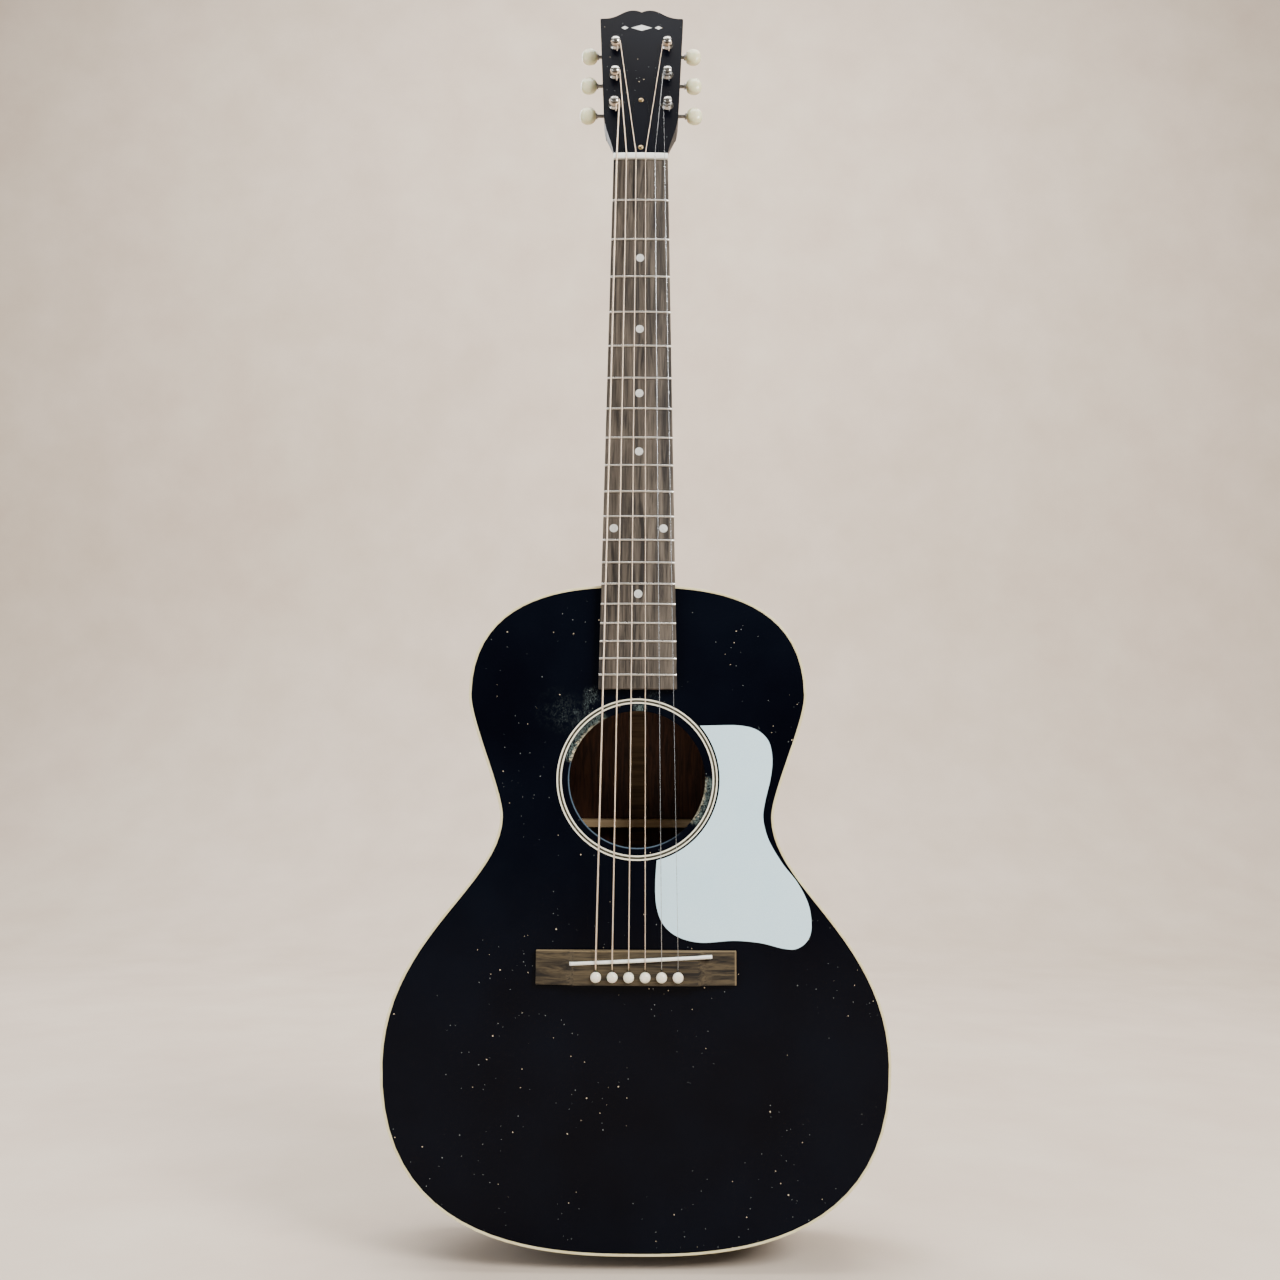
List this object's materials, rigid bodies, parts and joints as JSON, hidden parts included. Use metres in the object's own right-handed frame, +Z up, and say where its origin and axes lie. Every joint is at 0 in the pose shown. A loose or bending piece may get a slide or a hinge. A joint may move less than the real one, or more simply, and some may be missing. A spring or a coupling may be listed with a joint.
{
  "type": "acoustic guitar",
  "caption": "Small-bodied black steel-string acoustic guitar with white pickguard, slanted saddle and open geared tuning machines whose buttons turn the string posts.",
  "frame": {"origin": "centre of the end pin's outer face, at the guitar's lowest point", "axes": "+Z up along the neck, -Y out of the soundboard, +X to the treble side"},
  "size_m": [0.3746, 0.124, 1.0198],
  "materials": {
    "black_lacquer": "gloss lacquer",
    "mahogany": "bare",
    "spruce": "bare",
    "rosewood": "oiled",
    "cream_binding": "gloss",
    "white_plastic": "satin",
    "bone": "satin",
    "cream_plastic": "gloss",
    "black_plastic": "gloss",
    "nickel": "worn polish",
    "steel": "plain",
    "bronze_wire": "wound",
    "plain_wire": "polished"
  },
  "bodies": {
    "guitar": {"soundboard": "black_lacquer", "back_plate": "black_lacquer", "side_bass": "black_lacquer", "side_treble": "black_lacquer", "neck": "black_lacquer", "headstock_veneer": "black_lacquer", "neck_block": "mahogany", "tail_block": "mahogany", "top_lining": "mahogany", "back_lining": "mahogany", "x_brace": "spruce", "upper_brace": "spruce", "back_brace_1": "spruce", "back_brace_2": "spruce", "back_brace_3": "spruce", "back_brace_4": "spruce", "bridge_plate": "spruce", "binding_top": "cream_binding", "binding_back": "cream_binding", "rosette": "cream_binding", "pickguard": "white_plastic", "bridge": "rosewood", "fretboard": "rosewood", "saddle": "bone", "nut": "bone", "end_pin": "cream_plastic", "truss_rod": "steel", "truss_rod_cover": "black_plastic", "tuner_plate_bass": "nickel", "tuner_plate_treble": "nickel", "string_1": "plain_wire", "bridge_pin_1": "bone", "string_2": "plain_wire", "bridge_pin_2": "bone", "string_3": "bronze_wire", "bridge_pin_3": "bone", "string_4": "bronze_wire", "bridge_pin_4": "bone", "string_5": "bronze_wire", "bridge_pin_5": "bone", "string_6": "bronze_wire", "bridge_pin_6": "bone"},
    "button_1": {"tuner_button_1": "cream_plastic", "worm_shaft_1": "nickel"},
    "post_1": {"post_gear_1": "nickel"},
    "button_2": {"tuner_button_2": "cream_plastic", "worm_shaft_2": "nickel"},
    "post_2": {"post_gear_2": "nickel"},
    "button_3": {"tuner_button_3": "cream_plastic", "worm_shaft_3": "nickel"},
    "post_3": {"post_gear_3": "nickel"},
    "button_4": {"tuner_button_4": "cream_plastic", "worm_shaft_4": "nickel"},
    "post_4": {"post_gear_4": "nickel"},
    "button_5": {"tuner_button_5": "cream_plastic", "worm_shaft_5": "nickel"},
    "post_5": {"post_gear_5": "nickel"},
    "button_6": {"tuner_button_6": "cream_plastic", "worm_shaft_6": "nickel"},
    "post_6": {"post_gear_6": "nickel"}
  },
  "joints": [
    {"name": "button_1_turn", "type": "hinge", "parent": "guitar", "child": "button_1", "pos_m": [0.03, -0.01965, 0.9125], "axis": [1, 0, 0], "continuous": true},
    {"name": "post_1_turn", "type": "hinge", "parent": "guitar", "child": "post_1", "pos_m": [0.022, -0.03567, 0.90798], "axis": [0, -0.9563, 0.2924], "continuous": true},
    {"name": "button_2_turn", "type": "hinge", "parent": "guitar", "child": "button_2", "pos_m": [0.03, -0.00921, 0.94664], "axis": [1, 0, 0], "continuous": true},
    {"name": "post_2_turn", "type": "hinge", "parent": "guitar", "child": "post_2", "pos_m": [0.022, -0.02523, 0.94212], "axis": [0, -0.9563, 0.2924], "continuous": true},
    {"name": "button_3_turn", "type": "hinge", "parent": "guitar", "child": "button_3", "pos_m": [0.03, 0.00122, 0.98078], "axis": [1, 0, 0], "continuous": true},
    {"name": "post_3_turn", "type": "hinge", "parent": "guitar", "child": "post_3", "pos_m": [0.022, -0.0148, 0.97626], "axis": [0, -0.9563, 0.2924], "continuous": true},
    {"name": "button_4_turn", "type": "hinge", "parent": "guitar", "child": "button_4", "pos_m": [-0.03, 0.00122, 0.98078], "axis": [-1, 0, 0], "continuous": true},
    {"name": "post_4_turn", "type": "hinge", "parent": "guitar", "child": "post_4", "pos_m": [-0.022, -0.0148, 0.97626], "axis": [0, -0.9563, 0.2924], "continuous": true},
    {"name": "button_5_turn", "type": "hinge", "parent": "guitar", "child": "button_5", "pos_m": [-0.03, -0.00921, 0.94664], "axis": [-1, 0, 0], "continuous": true},
    {"name": "post_5_turn", "type": "hinge", "parent": "guitar", "child": "post_5", "pos_m": [-0.022, -0.02523, 0.94212], "axis": [0, -0.9563, 0.2924], "continuous": true},
    {"name": "button_6_turn", "type": "hinge", "parent": "guitar", "child": "button_6", "pos_m": [-0.03, -0.01965, 0.9125], "axis": [-1, 0, 0], "continuous": true},
    {"name": "post_6_turn", "type": "hinge", "parent": "guitar", "child": "post_6", "pos_m": [-0.022, -0.03567, 0.90798], "axis": [0, -0.9563, 0.2924], "continuous": true}
  ],
  "couplings": [
    {"joint": "post_1_turn", "follows": "button_1_turn", "ratio": 0.071429},
    {"joint": "post_2_turn", "follows": "button_2_turn", "ratio": 0.071429},
    {"joint": "post_3_turn", "follows": "button_3_turn", "ratio": 0.071429},
    {"joint": "post_4_turn", "follows": "button_4_turn", "ratio": 0.071429},
    {"joint": "post_5_turn", "follows": "button_5_turn", "ratio": 0.071429},
    {"joint": "post_6_turn", "follows": "button_6_turn", "ratio": 0.071429}
  ]
}
